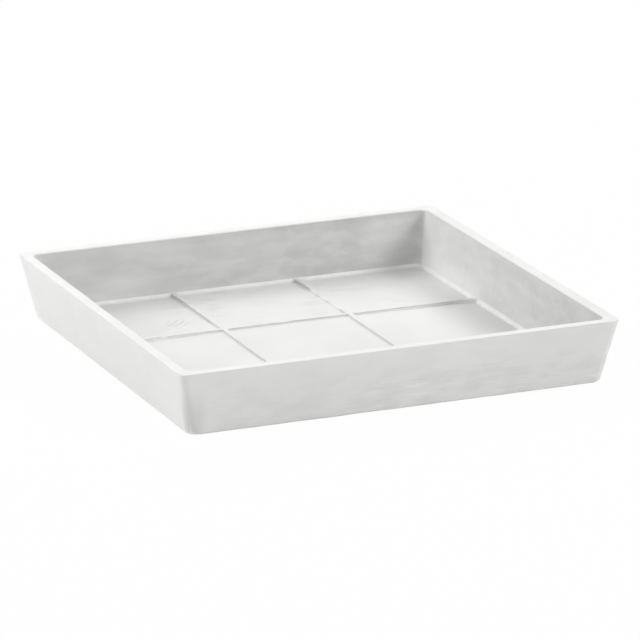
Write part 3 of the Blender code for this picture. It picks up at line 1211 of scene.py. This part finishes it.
@dataclass
class Pads:
    """The four glued pads: moulded rubber discs with ring grooves in the face that grips the floor."""

    distance: float = 117.85 * MM
    radius: float = 12.5 * MM
    thickness: float = 2.2 * MM
    edge_round: float = 0.6 * MM
    edge_steps: int = 6
    groove_depth: float = 0.35 * MM
    groove_radii: tuple[float, ...] = (4.0 * MM, 6.4 * MM, 8.8 * MM)
    groove_half: float = 0.45 * MM
    groove_profile: tuple[tuple[float, float], ...] = (  # shares of half a groove's width and of its depth
        (-1.0, 0.0), (-0.6, 1.0), (0.6, 1.0), (1.0, 0.0),
    )
    steps: int = 96
    sharp_angle: float = math.radians(35)

    def places(self) -> list[Vector]:
        """Return the middles of the four pads."""
        return [corner.place(self.distance) for corner in Corner]

    def build(self, material: bpy.types.Material) -> list[bpy.types.Object]:
        """Return the pads' objects in the given material."""
        return [self._one(corner, material) for corner in Corner]

    def _profile(self) -> Iterator[Vector]:
        """Walk along a pad's half section.

        Yields:
            Its points, from the middle of the underside round to the middle of the top.
        """
        yield Vector((0, 0, 0))
        for middle in self.groove_radii:
            for share, depth in self.groove_profile:
                yield Vector((middle + share * self.groove_half, 0, depth * self.groove_depth))
        centre = Vector((self.radius - self.edge_round, 0, self.edge_round))
        for step in range(self.edge_steps + 1):
            angle = math.radians(-90 + 90 * step / self.edge_steps)
            yield centre + Vector((math.cos(angle), 0, math.sin(angle))) * self.edge_round
        yield Vector((self.radius, 0, self.thickness))
        yield Vector((0, 0, self.thickness))

    def _one(self, corner: Corner, material: bpy.types.Material) -> bpy.types.Object:
        """Turn one pad from its half section and put it at its corner.

        Args:
            corner: Which pad it is.
            material: Its finish.

        Returns:
            The pad's object.
        """
        bm = bmesh.new()
        points = [bm.verts.new(point) for point in self._profile()]
        edges = [bm.edges.new(pair) for pair in zip(points, points[1:])]
        bmesh.ops.spin(bm, geom=points + edges, axis=(0, 0, 1), cent=(0, 0, 0), steps=self.steps,
                       angle=math.tau, use_merge=True)
        bmesh.ops.remove_doubles(bm, verts=bm.verts[:], dist=MERGE_DISTANCE)
        bmesh.ops.translate(bm, verts=bm.verts[:], vec=corner.place(self.distance))
        name = corner.node.replace("pad", "grip_pad")
        return finish_piece(name, bm, material, corner.node, self.sharp_angle)


# The studio

def direction(azimuth: float, elevation: float) -> Vector:
    """Return the unit vector from the saucer towards an azimuth and elevation in degrees."""
    turn, lift = math.radians(azimuth), math.radians(elevation)
    return Vector((math.sin(turn) * math.cos(lift), -math.cos(turn) * math.cos(lift), math.sin(lift)))


@dataclass(frozen=True)
class Softbox:
    """A square soft lamp aimed at the saucer.

    Azimuth 0 is in front of it and 90 on its right. The level is the brightness that it alone gives to a
    white face turned to it.
    """

    name: str
    azimuth: float
    elevation: float
    level: float
    size: float = 1.2
    distance: float = 2.2

    def hang(self) -> None:
        """Add the lamp to the scene."""
        lamp = bpy.data.lights.new(self.name, "AREA")
        lamp.shape = "SQUARE"
        lamp.size = self.size
        lamp.energy = self.level * (math.pi * self.distance) ** 2
        carrier = bpy.data.objects.new(self.name, lamp)
        back = direction(self.azimuth, self.elevation)
        carrier.location = back * self.distance
        carrier.rotation_mode = "QUATERNION"
        carrier.rotation_quaternion = (-back).to_track_quat("-Z", "Y")
        bpy.context.scene.collection.objects.link(carrier)


@dataclass
class Studio:
    """White floor, soft lamps and a surround that is white to the eye."""

    floor_half: float = 15.0
    lamps: tuple[Softbox, ...] = (
        Softbox("front_left_softbox", azimuth=-10, elevation=22, level=0.148, size=0.8),
        Softbox("front_low_softbox", azimuth=40, elevation=22, level=0.176, size=0.8),
        Softbox("front_right_softbox", azimuth=55, elevation=36, level=0.339, size=0.8),
        Softbox("rear_softbox", azimuth=160, elevation=35, level=0.433),
        Softbox("rear_left_softbox", azimuth=-130, elevation=42, level=0.249),
        Softbox("left_high_softbox", azimuth=-105, elevation=42, level=0.297),
        Softbox("left_softbox", azimuth=-80, elevation=8, level=0.198),
    )

    def build(self) -> None:
        """Build the floor, the surround and the lamps."""
        bm = bmesh.new()
        bmesh.ops.create_grid(bm, x_segments=1, y_segments=1, size=self.floor_half)
        floor = shape_object("studio_floor", bm)
        floor.data.materials.append(StudioPaper().make())
        self._surround()
        for lamp in self.lamps:
            lamp.hang()

    def _surround(self) -> None:
        """Make the world white to the eye. It gives the saucer no light, which all comes from the lamps."""
        world = bpy.data.worlds.new("studio_surround")
        bpy.context.scene.world = world
        world.use_nodes = True
        sky = world.node_tree.nodes["Background"]
        sky.inputs["Color"].default_value = linear("#ffffff")
        world.node_tree.links.new(seen_by_eye(world.node_tree), sky.inputs["Strength"])


@dataclass(frozen=True)
class PhotoCamera:
    """The long lens that looks down on the saucer's near left corner."""

    azimuth: float = -22.53
    elevation: float = 16.675
    roll: float = -0.28
    distance: float = 3.4634
    lens: float = 299.56
    sensor_width: float = 36.0
    clip_start: float = 0.1
    clip_end: float = 100.0
    target_height: float = 1.5 * MM
    aim_right: float = 4.59 * MM
    aim_up: float = 18.68 * MM

    def place(self) -> None:
        """Add the camera and make it the scene's."""
        data = bpy.data.cameras.new("photo_camera")
        data.sensor_width = self.sensor_width
        data.lens = self.lens
        data.clip_start = self.clip_start
        data.clip_end = self.clip_end
        camera = bpy.data.objects.new("photo_camera", data)
        back = direction(self.azimuth, self.elevation)
        turn = math.radians(self.azimuth)
        flat_right = Vector((math.cos(turn), math.sin(turn), 0))
        right = Quaternion(back, math.radians(self.roll)) @ flat_right
        up = back.cross(right)
        target = Vector((0, 0, self.target_height))
        camera.location = target + back * self.distance + right * self.aim_right + up * self.aim_up
        camera.rotation_mode = "QUATERNION"
        camera.rotation_quaternion = Matrix((right, up, back)).transposed().to_quaternion()
        bpy.context.scene.collection.objects.link(camera)
        bpy.context.scene.camera = camera


def main() -> None:
    """Build the saucer, its studio and the camera."""
    logging.basicConfig(level=logging.INFO, format="%(name)s: %(message)s")
    bpy.context.scene.view_settings.view_transform = "Standard"
    pads = Pads()
    tray = Tray().build(WashedCastStone().make(), pads.places())
    log.info("%s: %d faces", tray.name, len(tray.data.polygons))
    for pad in pads.build(PadRubber().make()):
        log.info("%s: %d faces", pad.name, len(pad.data.polygons))
    Studio().build()
    PhotoCamera().place()


if __name__ == "__main__":
    main()
